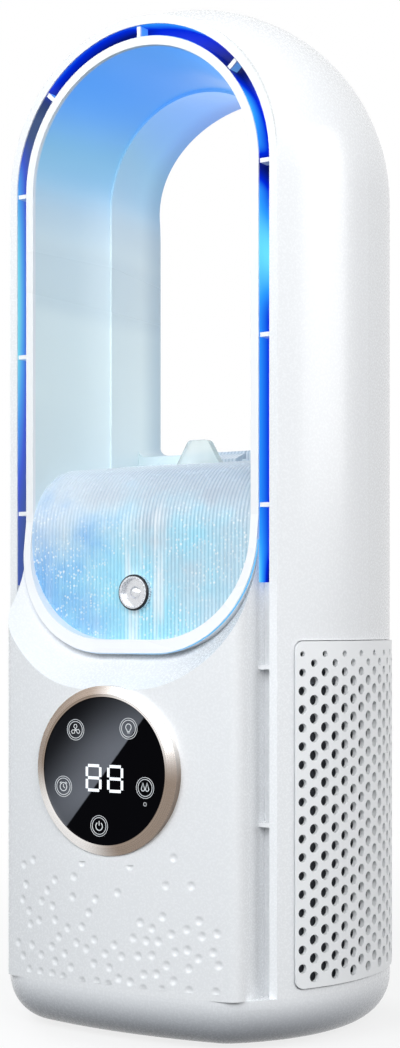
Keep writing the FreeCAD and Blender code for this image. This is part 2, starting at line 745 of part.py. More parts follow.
NODES = {
    "shell": make_shell,
    "base_tray": make_base_tray,
    "loop_frame": make_loop_frame,
    "liner_front": make_liner_front,
    "liner_rear": make_liner_rear,
    "light_strip": make_light_strip,
    "front_panel": make_front_panel,
    "display_bezel": make_bezel,
    "display_glass": make_display_glass,
    "display_board": make_display_board,
    "grille_right": make_grille,
    "grille_left": lambda: mirrored(make_grille()),
    "water_tank": make_tank,
    "tank_cover": make_tank_cover,
    "hinge_pin": make_hinge_pin,
    "fill_flap": make_fill_flap,
    "flap_tab": make_flap_tab,
    "nozzle_ring": make_nozzle_ring,
    "mist_disc": make_mist_disc,
    "impeller": make_impeller,
    "motor": make_motor,
    "motor_mount": make_motor_mount,
    "blower_shroud": make_shroud,
    "air_deck": make_air_deck,
    "power_inlet": make_power_inlet,
}

for node, make in NODES.items():
    export(node, make())
for number, foot in enumerate(make_feet(), start=1):
    export(f"foot_{number}", foot)
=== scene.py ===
import math
import bmesh
import bpy
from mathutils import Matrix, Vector


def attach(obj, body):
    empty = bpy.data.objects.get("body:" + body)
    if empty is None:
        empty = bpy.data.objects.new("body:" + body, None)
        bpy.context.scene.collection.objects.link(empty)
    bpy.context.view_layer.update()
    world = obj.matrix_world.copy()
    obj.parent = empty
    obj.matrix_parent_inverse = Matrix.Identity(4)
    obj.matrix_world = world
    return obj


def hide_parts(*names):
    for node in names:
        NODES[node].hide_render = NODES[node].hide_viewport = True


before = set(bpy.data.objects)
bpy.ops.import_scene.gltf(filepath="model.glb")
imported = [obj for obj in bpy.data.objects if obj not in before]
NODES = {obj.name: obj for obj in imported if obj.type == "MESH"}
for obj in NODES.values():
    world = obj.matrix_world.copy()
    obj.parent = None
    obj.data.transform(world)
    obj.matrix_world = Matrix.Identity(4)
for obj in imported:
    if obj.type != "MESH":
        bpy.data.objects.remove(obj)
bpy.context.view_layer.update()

MM = 0.001
DEPTH_SHIFT = -3.9          # depth of the body's axis in the frame, in millimetres

# Sizes repeated from the source, in millimetres round the body's axis
BODY_R = 65.6
FRONT_Y = -38.2             # flat rim of the loop
LOOP_Z = 282.4              # middle of its arch
SLOT_R = 50.4
SLOT_END_Z = 148.4
RING_R = 46.4
RING_IN_R = 43.5
RING_FLOOR = 4.4
U_FLOOR_Z = 130.0           # foot of the loop
U_CORNER_R = 33.0
LEAN_TOP_Z = 170.0          # the ring leans forward between these heights
LEAN_LOW_Z = 127.0
LEAN = 6.0
STRIP_FRONT_Y = -31.0
PANEL_Y = -56.0
PANEL_R = 180.0
DISPLAY_Z = 87.9
BEZEL_R = 27.4
GLASS_FRONT_Y = -57.3
NOZZLE_Z = 145.5
NOZZLE_FRONT_Y = -41.2
GRILLE_FROM = 59.5          # angles of a side cover from the front, in degrees
GRILLE_TO = 149.4
GRILLE_LOW = 19.3
GRILLE_HIGH = 130.0
GRILLE_PROUD = 0.7


def mm(*values):
    """Millimetres as metres."""
    return [value * MM for value in values]


def spot(x, y, z):
    """A place given round the body's axis in millimetres, as a point of the frame in metres."""
    return Vector((x, y + DEPTH_SHIFT, z)) * MM


def depth_at(y):
    """A depth given from the body's axis in millimetres, as a depth of the frame in metres."""
    return (y + DEPTH_SHIFT) * MM


def shown(red, green, blue):
    """A colour given by its values on screen, 0 to 255."""
    return tuple((value / 255) ** 2.2 for value in (red, green, blue))


# Wiring shared by finishes and patterns

class Wiring:
    """A node tree that is written as a chain of calls."""

    def feed(self, socket, value):
        """Links a value that is a socket itself, and sets any other."""
        if isinstance(value, bpy.types.NodeSocket):
            self.tree.links.new(value, socket)
        else:
            socket.default_value = value

    def node(self, kind, inputs=(), **settings):
        made = self.tree.nodes.new(kind)
        for key, value in settings.items():
            setattr(made, key, value)
        for key, value in dict(inputs).items():
            self.feed(made.inputs[key], value)
        return made

    def math(self, operation, *values, clamp=False):
        return self.node("ShaderNodeMath", enumerate(values), operation=operation, use_clamp=clamp).outputs[0]

    def add(self, a, b):
        return self.math("ADD", a, b)

    def minus(self, a, b):
        return self.math("SUBTRACT", a, b)

    def times(self, a, b):
        return self.math("MULTIPLY", a, b)

    def over(self, a, b):
        return self.math("DIVIDE", a, b)

    def size_of(self, value):
        return self.math("ABSOLUTE", value)

    def away(self, a, b):
        """Distance from the place where both values are 0."""
        return self.math("SQRT", self.add(self.times(a, a), self.times(b, b)))

    def join_xyz(self, x=0.0, y=0.0, z=0.0):
        return self.node("ShaderNodeCombineXYZ", {0: x, 1: y, 2: z}).outputs[0]

    def split_xyz(self, vector):
        return self.node("ShaderNodeSeparateXYZ", {0: vector}).outputs

    def remap(self, value, a0, a1, b0=0.0, b1=1.0, kind="LINEAR"):
        """Takes a0 to b0 and a1 to b1, and holds still beyond them."""
        return self.node("ShaderNodeMapRange", {0: value, 1: a0, 2: a1, 3: b0, 4: b1},
                         interpolation_type=kind).outputs[0]

    def ease(self, value, a0, a1, b0=0.0, b1=1.0):
        return self.remap(value, a0, a1, b0, b1, "SMOOTHSTEP")


class Finish(Wiring):
    """One procedural material on a Principled surface."""

    def __init__(self, name, **fixed):
        self.material = bpy.data.materials.new(name)
        self.material.use_nodes = True
        self.tree = self.material.node_tree
        self.tree.nodes.clear()
        self.surface = self.node("ShaderNodeBsdfPrincipled")
        self.output = self.node("ShaderNodeOutputMaterial", {0: self.surface.outputs[0]})
        self.place = self.node("ShaderNodeTexCoord").outputs["Object"]
        self.put(**fixed)

    def put(self, **sockets):
        """Sets or links sockets of the surface; an underscore stands for a space."""
        for key, value in sockets.items():
            self.feed(self.surface.inputs[key.replace("_", " ")], value)
        return self

    def noise(self, scale, detail=2.0, stretch=None, place=None):
        place = place or self.place
        if stretch:
            place = self.node("ShaderNodeMapping", {0: place, 3: stretch}).outputs[0]
        return self.node("ShaderNodeTexNoise", {"Vector": place, "Scale": scale, "Detail": detail}).outputs[0]

    def vary(self, noise, low=0.0, high=1.0):
        """The usual span of a noise, spread from low to high."""
        return self.remap(noise, 0.3, 0.7, low, high)

    def ramp(self, value, *stops):
        made = self.node("ShaderNodeValToRGB", {0: value})
        points = made.color_ramp.elements
        while len(points) < len(stops):
            points.new(0.5)
        for point, (position, colour) in zip(points, stops):
            point.position = position
            point.color = (*colour, 1.0)
        return made.outputs[0]

    def mottle(self, noise, low, high):
        """Two close tones spread by a noise."""
        return self.ramp(noise, (0.3, low), (0.7, high))

    def blend(self, share, a, b, mode="MIX"):
        a, b = (tone if isinstance(tone, bpy.types.NodeSocket) else (*tone, 1.0) for tone in (a, b))
        made = self.node("ShaderNodeMix", {0: share, 6: a, 7: b}, data_type="RGBA", blend_type=mode)
        return made.outputs[2]

    def tint(self, colour, tone):
        return self.blend(1.0, colour, tone, "MULTIPLY")

    def dim(self, colour, share):
        return self.tint(colour, (share, share, share))

    def bump(self, height, strength, distance):
        made = self.node("ShaderNodeBump", {"Height": height, "Strength": strength, "Distance": distance})
        return self.put(Normal=made.outputs[0])


class Pattern(Wiring):
    """A Geometry Nodes tree with named sizes, run once into a plain mesh."""

    def __init__(self, name, sizes):
        self.tree = bpy.data.node_groups.new(name, "GeometryNodeTree")
        face = self.tree.interface
        self.sockets = {}
        for label, value in sizes.items():
            kind = "NodeSocketInt" if isinstance(value, int) else "NodeSocketFloat"
            self.sockets[label] = face.new_socket(label, in_out="INPUT", socket_type=kind)
        face.new_socket("Mesh", in_out="OUTPUT", socket_type="NodeSocketGeometry")
        self.sizes = sizes
        self.given = self.node("NodeGroupInput")
        self.result = self.node("NodeGroupOutput")

    def size(self, label):
        return self.given.outputs[label]

    def make(self, kind, inputs=(), **settings):
        """First output of a new geometry node."""
        return self.node("GeometryNode" + kind, inputs, **settings).outputs[0]

    def here(self):
        return self.split_xyz(self.make("InputPosition"))

    def shift(self, geometry, **to):
        """Moves points to a Position or by an Offset."""
        return self.make("SetPosition", {"Geometry": geometry, **to})

    def join(self, *parts):
        made = self.node("GeometryNodeJoinGeometry")
        for part in parts:
            self.tree.links.new(part, made.inputs[0])
        return made.outputs[0]

    def end(self, geometry, finish):
        whole = self.make("RealizeInstances", {0: geometry})
        painted = self.make("SetMaterial", {"Geometry": whole, "Material": finish.material})
        self.tree.links.new(painted, self.result.inputs[0])

    def run(self, name, sharp_deg):
        """Runs the tree and returns a plain, smooth-shaded mesh object at the origin."""
        made = placed(name, bpy.data.meshes.new(name))
        modifier = made.modifiers.new("pattern", "NODES")
        modifier.node_group = self.tree
        for label, value in self.sizes.items():
            modifier[self.sockets[label].identifier] = value
        graph = bpy.context.evaluated_depsgraph_get()
        mesh = bpy.data.meshes.new_from_object(made.evaluated_get(graph))
        made.modifiers.remove(modifier)
        made.data = mesh
        shade(mesh, sharp_deg)
        return made


# Plain meshes

def placed(name, data):
    """A new object of the scene, at the origin."""
    made = bpy.data.objects.new(name, data)
    bpy.context.scene.collection.objects.link(made)
    return made


def shade(mesh, sharp_deg):
    mesh.shade_smooth()
    mesh.set_sharp_from_angle(angle=math.radians(sharp_deg))


def tube_faces(rings, sides, closed=False, first=0):
    """Faces of a tube through a number of rings, capped at both ends unless they meet."""
    starts = [first + sides * ring for ring in range(rings)]
    faces = []
    for a, b in zip(starts, starts[1:] + starts[:1] if closed else starts[1:]):
        for corner in range(sides):
            after = (corner + 1) % sides
            faces.append((a + corner, a + after, b + after, b + corner))
    if not closed:
        faces += [tuple(range(start, start + sides)) for start in (starts[0], starts[-1])]
    return faces


def solid(name, points, faces, finish, sharp_deg=30.0):
    """A mesh object from points that are already places of the frame."""
    mesh = bpy.data.meshes.new(name)
    mesh.from_pydata([tuple(point) for point in points], [], faces)
    form = bmesh.new()
    form.from_mesh(mesh)
    bmesh.ops.remove_doubles(form, verts=form.verts, dist=1e-6)
    bmesh.ops.recalc_face_normals(form, faces=form.faces)
    form.to_mesh(mesh)
    form.free()
    shade(mesh, sharp_deg)
    mesh.materials.append(finish.material)
    return placed(name, mesh)


def tube(name, rings, finish, sharp_deg=30.0):
    points = [point for ring in rings for point in ring]
    return solid(name, points, tube_faces(len(rings), len(rings[0])), finish, sharp_deg)


def bow(cx, cz, radius, start, stop, steps=28):
    """Points of an arc between two angles in degrees."""
    turns = [math.radians(start + (stop - start) * step / steps) for step in range(steps + 1)]
    return [(cx + radius * math.cos(turn), cz + radius * math.sin(turn)) for turn in turns]


def sideways(path, closed=False):
    """Unit vector to the left of a path at each of its points."""
    last = len(path) - 1
    made = []
    for number in range(len(path)):
        before = path[number - 1] if closed or number else path[0]
        after = path[(number + 1) % len(path)] if closed or number < last else path[last]
        dx, dz = after[0] - before[0], after[1] - before[1]
        length = math.hypot(dx, dz) or 1.0
        made.append((-dz / length, dx / length))
    return made


def on_body(piece, slot, *nodes):
    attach(piece, "body")
    if nodes:
        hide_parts(*nodes)


# Finishes

FINE_GRAIN = 1400.0         # scale of the grain of mouldings
METAL_LINES = 1500.0
GRAIN_DEPTH = 0.05 * MM
WALL_PALE = shown(218, 231, 232)
# blues of the painted lamp light on the tunnel walls
WALL_PAINTED_SKY_BLUE = shown(134, 192, 228)
ROOF_PAINTED_BLUE = shown(84, 162, 255)
SKY_FROM, SKY_TO = 262.0, 305.0     # heights between which the painted blue light turns a tunnel wall from pale to sky blue
ROOF_FROM, ROOF_TO = 298.0, 324.0   # and from sky blue to the painted blue of its roof
LIT_FROM, LIT_TO = 262.0, 325.0     # heights between which the painted light and glow on it grow
LOOP_TONE = (0.875, 0.89, 0.905)
GLOW_LOW, GLOW_HIGH = 148.0, 334.0  # the slot's painted light levels run from 0 to 1 between these heights
# colours of the slot's painted light
GLOW_NAVY = shown(15, 25, 85)
GLOW_DEEP = shown(0, 45, 215)
GLOW_SKY = shown(50, 155, 250)
GLOW_CYAN = shown(115, 232, 250)
GLOW_MUTED = shown(112, 140, 178)   # what the glow on the left fades towards
# colours of the painted glow in the seam round the foot of the ring
SEAM_PALE = shown(204, 216, 235)
SEAM_CYAN = shown(100, 184, 238)
WATER_BLUE = shown(132, 188, 238)
WATER_CYAN = shown(168, 230, 250)
WATER_PALE = shown(196, 226, 240)
MIST_PALE = shown(212, 224, 234)
MIST_GREY = shown(192, 204, 217)
PAINTED_GLINT_WHITE = (0.95, 0.985, 1.0)
RIB_COUNT = 59
RIB_PITCH = 1.43
RAY_TURN = 0.135                    # the turned ring's two painted pale rays lie this part of a turn from level
RING_PAINTED_DARK = shown(140, 126, 114)
RING_PAINTED_PALE = shown(240, 238, 236)
RING_LINE = (0.55, 0.42, 0.36)
SHEEN_SLOPE = 1.19                   # of the painted sheen's edge across the display
SHEEN_GREY = (0.155, 0.165, 0.190)
NOZZLE_EDGE = 5.25, 5.4             # radii between which the nozzle's silver turns to its black line
NOZZLE_LINE = 0.75                  # depth of that line


def white_moulding(name, low, high, rough, grain, foot=None):
    """Satin white moulding, faintly clouded and unevenly glossy, greyer at its foot with painted shade if a
    tone is given.
    """
    made = Finish(name, Coat_Weight=0.15, Coat_Roughness=0.12)
    tone = made.ramp(made.noise(7.0, 1.0), (0.2, low), (0.8, high))
    if foot:
        # painted shade: the tone darkens towards the foot
        height = made.split_xyz(made.place)[2]
        tone = made.blend(made.ease(height, *mm(2.0, 20.0), 1.0, 0.0), tone, foot)
    fine = made.noise(FINE_GRAIN)
    made.put(Base_Color=tone, Roughness=made.remap(fine, 0.2, 0.8, rough - 0.03, rough + 0.03))
    return made.bump(fine, grain, GRAIN_DEPTH)


def lit_liner(name, lift=0.0, edge=None, lip_y=None):
    """Tunnel wall with painted blue light towards the arch and a painted glow, with faint bands along the
    wind.

    The painted blue starts higher by lift, in millimetres. Towards the back edge given in millimetres the
    wall falls into painted shade, and in front of lip_y it stays plain white.
    """
    made = Finish(name, Coat_Weight=0.1, Coat_Roughness=0.25, Emission_Strength=1.0)
    _, depth, height = made.split_xyz(made.place)
    band = made.noise(14.0, 0.0, (1.0, 0.10, 3.4))
    level = made.add(height, made.vary(band, *mm(-5.0, 5.0)))
    # painted blue light, rising towards the arch
    blue = made.ease(level, *mm(SKY_FROM + lift, SKY_TO + lift))
    roof = made.ease(level, *mm(ROOF_FROM + lift, ROOF_TO + lift))
    colour = made.blend(roof, made.blend(blue, WALL_PALE, WALL_PAINTED_SKY_BLUE), ROOF_PAINTED_BLUE)
    faint = made.ease(band, 0.38, 0.62, 1.0, 0.0)
    colour = made.blend(faint, colour, made.tint(colour, (0.89, 0.91, 0.935)))
    if edge:
        # painted shade towards the back edge
        shaded = made.ease(depth, *map(depth_at, edge))
        colour = made.blend(shaded, colour, made.tint(colour, (0.60, 0.68, 0.76)))
    # painted light: a glow that rises towards the arch while the base colour dims
    lit = made.ease(height, *mm(LIT_FROM, LIT_TO))
    glow = made.blend(lit, made.dim(colour, 0.12), made.dim(colour, 0.62))
    base = made.blend(lit, colour, made.dim(colour, 0.55))
    if lip_y is not None:
        inside = made.ease(depth, depth_at(lip_y), depth_at(lip_y + 1.0))
        base = made.blend(inside, LOOP_TONE, base)
        glow = made.blend(inside, (0.0, 0.0, 0.0), glow)
    made.put(Base_Color=base, Emission_Color=glow, Roughness=made.vary(band, 0.26, 0.34))
    return made.bump(made.noise(FINE_GRAIN), 0.05, GRAIN_DEPTH)


def painted_slot_light(name, strength):
    """Painted light of the slot: bright at its front edge and in pools near its lamps, deep blue to navy
    elsewhere, with painted shade under the cross ribs.
    """
    made = Finish(name, Roughness=0.45, Specular_IOR_Level=0.15, Emission_Strength=strength)
    x, depth, height = made.split_xyz(made.place)
    level = made.add(made.remap(height, *mm(GLOW_LOW, GLOW_HIGH)), made.vary(made.noise(38.0), -0.006, 0.006))

    def near(middle, reach):
        """1 at one level of the slot, falling to 0 at the reach on both sides of it."""
        return made.ease(made.size_of(made.minus(level, middle)), 0.0, reach, 1.0, 0.0)

    def total(start, *parts):
        """A start value with a share of each part added."""
        for share, part in parts:
            start = made.math("MULTIPLY_ADD", part, share, start)
        return start

    def between(share, a, b):
        return made.math("MULTIPLY_ADD", made.minus(b, a), share, a)

    # painted pools of light near a lamp's level and at the slot's low end
    lamp = near(0.57, 0.12)
    low_end = near(0.0, 0.14)
    # painted shade just under the two upper cross ribs
    painted_under_rib_shade = made.add(near(0.71, 0.04), near(0.90, 0.07))
    arch = made.remap(level, 0.89, 0.91)
    # painted light, bright at the slot's front edge and darker deeper in
    front_right = total(0.55, (0.35, lamp), (0.12, near(0.81, 0.06)), (0.25, low_end), (-0.5, painted_under_rib_shade))
    deep_right = total(0.30, (0.65, lamp), (-0.3, near(0.0, 0.07)), (-0.3, painted_under_rib_shade))
    front_left = total(0.12, (0.95, near(0.52, 0.46)), (-0.36, near(0.84, 0.10)), (0.22, arch))
    deep_left = made.times(front_left, 0.12)
    inwards = made.remap(depth, depth_at(FRONT_Y + 0.8), depth_at(STRIP_FRONT_Y - 0.8))
    right = made.ease(x, *mm(-6.0, 6.0))
    light = between(right, between(inwards, front_left, deep_left), between(inwards, front_right, deep_right))
    glow = made.ramp(light, (0.0, GLOW_NAVY), (0.30, GLOW_DEEP), (0.62, GLOW_SKY), (1.0, GLOW_CYAN))
    low_left = made.times(made.remap(level, 0.86, 0.92, 0.36, 0.0), made.minus(1.0, right))
    glow = made.blend(low_left, glow, GLOW_MUTED)
    return made.put(Base_Color=made.tint(glow, (0.10, 0.10, 0.12)), Emission_Color=glow)


def painted_seam_glow(name):
    """Painted glow on a thin bead round the foot of the ring: cyan on the right, paling towards the left."""
    made = Finish(name, Roughness=0.35, Emission_Strength=0.85)
    x = made.split_xyz(made.place)[0]
    waver = made.vary(made.noise(60.0), *mm(-11.0, 11.0))
    glow = made.blend(made.ease(made.add(x, waver), *mm(-30.0, 36.0)), SEAM_PALE, SEAM_CYAN)
    return made.put(Base_Color=made.dim(glow, 0.25), Emission_Color=glow)


def ribbed_cover(name):
    """Translucent cover with water behind it: cyan and sparkling low down with painted glints and streak
    highlights, pale grey at the crest, with painted shade between its ribs and a painted glow.
    """
    made = Finish(name, IOR=1.42, Emission_Strength=1.0)
    x, _, z = made.split_xyz(made.place)
    cloud = made.vary(made.noise(60.0, 4.0), *mm(-14.0, 14.0))
    across = made.add(x, cloud)
    upwards = made.add(z, made.times(cloud, 0.7))
    water = made.blend(made.ease(across, *mm(-40.0, -4.0)), WATER_BLUE, WATER_CYAN)
    water = made.blend(made.ease(across, *mm(4.0, 36.0)), water, WATER_PALE)
    misty = made.blend(made.remap(across, *mm(-30.0, 34.0)), MIST_PALE, MIST_GREY)
    colour = made.blend(made.ease(upwards, *mm(148.0, 184.0)), water, misty)
    # painted highlights: pale streaks in the middle, low down
    streak = made.ease(made.noise(150.0, 3.0, (1.6, 1.0, 0.22)), 0.50, 0.72, 0.0, 0.65)
    from_middle = made.size_of(made.minus(x, 3.0 * MM))
    painted_streaks = made.times(streak, made.ease(from_middle, *mm(8.0, 24.0), 1.0, 0.15))
    painted_streaks = made.times(painted_streaks, made.ease(z, *mm(164.0, 182.0), 1.0, 0.0))
    # painted glints in patches
    spark = made.node("ShaderNodeTexVoronoi", {"Vector": made.place, "Scale": 760.0}).outputs[0]
    patches = made.remap(made.noise(110.0), 0.38, 0.58, 0.0, 0.80)
    painted_glints = made.times(made.ease(spark, 0.20, 0.38, 1.0, 0.0), patches)
    painted_glints = made.times(painted_glints, made.ease(z, *mm(160.0, 184.0), 1.0, 0.15))
    colour = made.blend(made.math("MAXIMUM", painted_streaks, painted_glints), colour, PAINTED_GLINT_WHITE)
    # painted shade in the valleys between the ribs
    from_crest = made.math("PINGPONG", made.over(x, RIB_PITCH * MM), 0.5)
    painted_valley_shade = made.times(made.ease(from_crest, 0.18, 0.42), made.ease(across, *mm(-34.0, 12.0), 0.30, 0.85))
    colour = made.blend(painted_valley_shade, colour, made.tint(colour, (0.66, 0.72, 0.78)))
    # a painted glow evens out the cover's shading
    made.put(Base_Color=made.dim(colour, 0.62), Emission_Color=made.dim(colour, 0.36))
    made.put(Roughness=made.vary(made.noise(300.0), 0.16, 0.3))
    return made.bump(spark, 0.12, 0.3 * MM)


def brushed_metal(name, tone, rough, shimmer):
    """Brushed metal with fine turned lines."""
    made = Finish(name, Metallic=1.0, Anisotropic=0.4)
    line = made.noise(METAL_LINES)
    made.put(Base_Color=made.blend(made.vary(line), tone, [part * shimmer for part in tone]))
    made.put(Roughness=made.vary(line, rough - 0.04, rough + 0.04))
    return made.bump(line, 0.03, 0.1 * MM)


def turned_ring(name):
    """Champagne ring turned on a lathe: fine circular lines, and a painted reflection of the two broad pale
    rays they throw.
    """
    made = Finish(name, Metallic=1.0, Anisotropic=0.5)
    x, _, z = made.split_xyz(made.place)
    up = made.minus(z, DISPLAY_Z * MM)
    turn = made.over(made.math("ARCTAN2", up, x), 2.0 * math.pi)
    opposed = made.math("COSINE", made.times(made.minus(turn, RAY_TURN), 4.0 * math.pi))
    # painted reflection: pale and dark rays fixed by angle round the ring
    rays = made.blend(made.ease(opposed, -0.38, 0.90), RING_PAINTED_DARK, RING_PAINTED_PALE)
    line = made.noise(1.0, place=made.join_xyz(made.times(made.away(x, up), 6000.0), turn))
    made.put(Base_Color=made.blend(made.vary(line, 0.0, 0.16), rays, RING_LINE))
    made.put(Roughness=made.vary(line, 0.22, 0.32))
    return made.bump(line, 0.05, 0.1 * MM)


def clear_moulding(name, tone, rough, clear):
    """Clear moulding with slight flow marks."""
    made = Finish(name, Transmission_Weight=clear, IOR=1.47)
    flow = made.noise(90.0, 2.0, (1.0, 1.0, 0.4))
    made.put(Base_Color=made.blend(made.vary(flow), tone, (0.97, 0.99, 1.0)))
    made.put(Roughness=made.vary(flow, rough, rough + 0.06))
    return made.bump(flow, 0.05, 0.2 * MM)


def dull(name, tone, lighter, rough, grain, scale=700.0):
    """Matt moulding or rubber with a fine grain."""
    made = Finish(name)
    fine = made.noise(scale, 3.0)
    made.put(Base_Color=made.mottle(fine, tone, lighter))
    made.put(Roughness=made.vary(fine, rough - 0.06, rough + 0.06))
    return made.bump(fine, grain, 0.1 * MM)


def black_glass(name):
    """Black glass with a painted sheen of reflection over its upper left half, palest along the sheen's
    slanting edge.
    """
    made = Finish(name, IOR=1.08)
    smear = made.noise(26.0, 3.0)
    x, _, z = made.split_xyz(made.place)
    rise = made.minus(z, DISPLAY_Z * MM)
    beyond = made.minus(rise, made.times(x, SHEEN_SLOPE))
    painted_sheen = made.times(made.ease(beyond, *mm(-1.3, -0.4)), made.ease(beyond, *mm(0.0, 34.0), 1.0, 0.06))
    painted_sheen = made.times(painted_sheen, made.ease(made.size_of(rise), *mm(6.0, 27.0), 1.0, 0.35))
    dark = made.mottle(smear, (0.0008, 0.0008, 0.0016), (0.0014, 0.0014, 0.0026))
    return made.put(Base_Color=made.blend(painted_sheen, dark, SHEEN_GREY), Roughness=made.vary(smear, 0.04, 0.08))


def lit_print(name, strength):
    """Lit signs and figures, slightly uneven."""
    made = Finish(name, Roughness=0.4, Emission_Strength=strength)
    tone = made.mottle(made.noise(400.0), (0.84, 0.90, 0.96), (0.95, 0.98, 1.0))
    return made.put(Base_Color=made.dim(tone, 0.3), Emission_Color=tone)


def nozzle_trim(name):
    """Mist outlet: a silver ring with a thin black line round its front edge."""
    made = Finish(name, Metallic=0.6)
    x, depth, z = made.split_xyz(made.place)
    line = made.noise(METAL_LINES)
    silver = made.mottle(line, (0.62, 0.64, 0.68), (0.74, 0.76, 0.79))
    black = made.mottle(line, (0.010, 0.010, 0.012), (0.020, 0.020, 0.024))
    line_back = depth_at(NOZZLE_FRONT_Y + NOZZLE_LINE)
    edge = made.times(made.remap(made.away(x, made.minus(z, NOZZLE_Z * MM)), *mm(*NOZZLE_EDGE)),
                      made.remap(depth, line_back, line_back + 0.1 * MM, 1.0, 0.0))
    return made.put(Base_Color=made.blend(edge, silver, black), Roughness=made.vary(line, 0.22, 0.32))


SHELL_WHITES = (0.845, 0.86, 0.88), (0.86, 0.875, 0.892)
SHELL_WHITE = white_moulding("shell white", *SHELL_WHITES, 0.27, 0.015)
# the base's white greys towards the floor with painted shade
BASE_WHITE = white_moulding("base white", *SHELL_WHITES, 0.27, 0.015, foot=(0.46, 0.49, 0.54))
COVER_WHITE = white_moulding("side cover white", (0.87, 0.885, 0.90), (0.885, 0.90, 0.912), 0.36, 0.03)
# painted blue light on the slot's walls
SLOT_PAINTED_LIGHT = painted_slot_light("slot painted light", 0.95)
SEAM_PAINTED_GLOW = painted_seam_glow("seam painted glow")
RIBBED = ribbed_cover("ribbed cover")
# dark sheet that paints the shade seen through the side covers' holes
SHADE_SHEET_DARK = dull("painted shade sheet", (0.030, 0.034, 0.042), (0.075, 0.082, 0.095), 0.8, 0.5, 1100.0)
LIT_PRINT = lit_print("lit print", 0.95)
LIT_ICON = lit_print("lit icon", 0.50)
DIM_DOT = lit_print("dim dot", 0.10)

CAD_FINISHES = {
    SHELL_WHITE: ("shell",),
    BASE_WHITE: ("base_tray",),
    lit_liner("loop", lip_y=FRONT_Y + 0.7): ("loop_frame",),
    lit_liner("front liner"): ("liner_front",),
    lit_liner("rear liner", lift=4.0, edge=(24.0, 44.0)): ("liner_rear",),
    # the light strip is a lamp, with painted pools of light and shade along it
    painted_slot_light("strip glow", 1.0): ("light_strip",),
    turned_ring("champagne metal"): ("display_bezel",),
    black_glass("black glass"): ("display_glass",),
    dull("board green", (0.02, 0.12, 0.05), (0.03, 0.16, 0.07), 0.4, 0.1, 1600.0): ("display_board",),
    clear_moulding("clear tank", (0.84, 0.93, 0.98), 0.10, 1.0): ("water_tank",),
    RIBBED: ("tank_cover", "fill_flap"),
    clear_moulding("clear tab", (0.76, 0.87, 0.85), 0.12, 0.60): ("flap_tab",),
    nozzle_trim("nozzle trim"): ("nozzle_ring",),
    dull("black rubber", (0.012, 0.012, 0.014), (0.022, 0.022, 0.025), 0.62, 0.2):
        ("foot_1", "foot_2", "foot_3", "foot_4"),
    brushed_metal("steel", (0.74, 0.75, 0.78), 0.26, 0.85): ("mist_disc", "hinge_pin"),
    dull("inner grey", (0.17, 0.18, 0.20), (0.21, 0.22, 0.24), 0.55, 0.15):
        ("impeller", "blower_shroud", "motor_mount", "air_deck"),
    dull("motor grey", (0.12, 0.12, 0.13), (0.17, 0.17, 0.18), 0.42, 0.1): ("motor",),
    dull("socket black", (0.012, 0.012, 0.014), (0.02, 0.02, 0.022), 0.5, 0.12): ("power_inlet",),
}
for finish, nodes in CAD_FINISHES.items():
    for node in nodes:
        slots = NODES[node].data.materials
        slots.clear()
        slots.append(finish.material)


# Perforated side covers

HOLE_COLUMNS = 23
HOLE_ROWS = 18              # holes in a column
PLATE_GAP = 0.6             # by which the plate is smaller than its seat
PLATE_THICK = 1.5
# place of the dark sheet that paints the shade behind each side cover's holes
EDGE_SHRINK = 0.13          # by which the holes of the outermost columns are smaller
SHADE_SHEET_OUT = BODY_R - 3.0
SHADE_SHEET_IN = BODY_R - 3.7
SHADE_SHEET_MARGIN = 2.0
SHADE_SHEET_MARGIN_DEG = 1.5


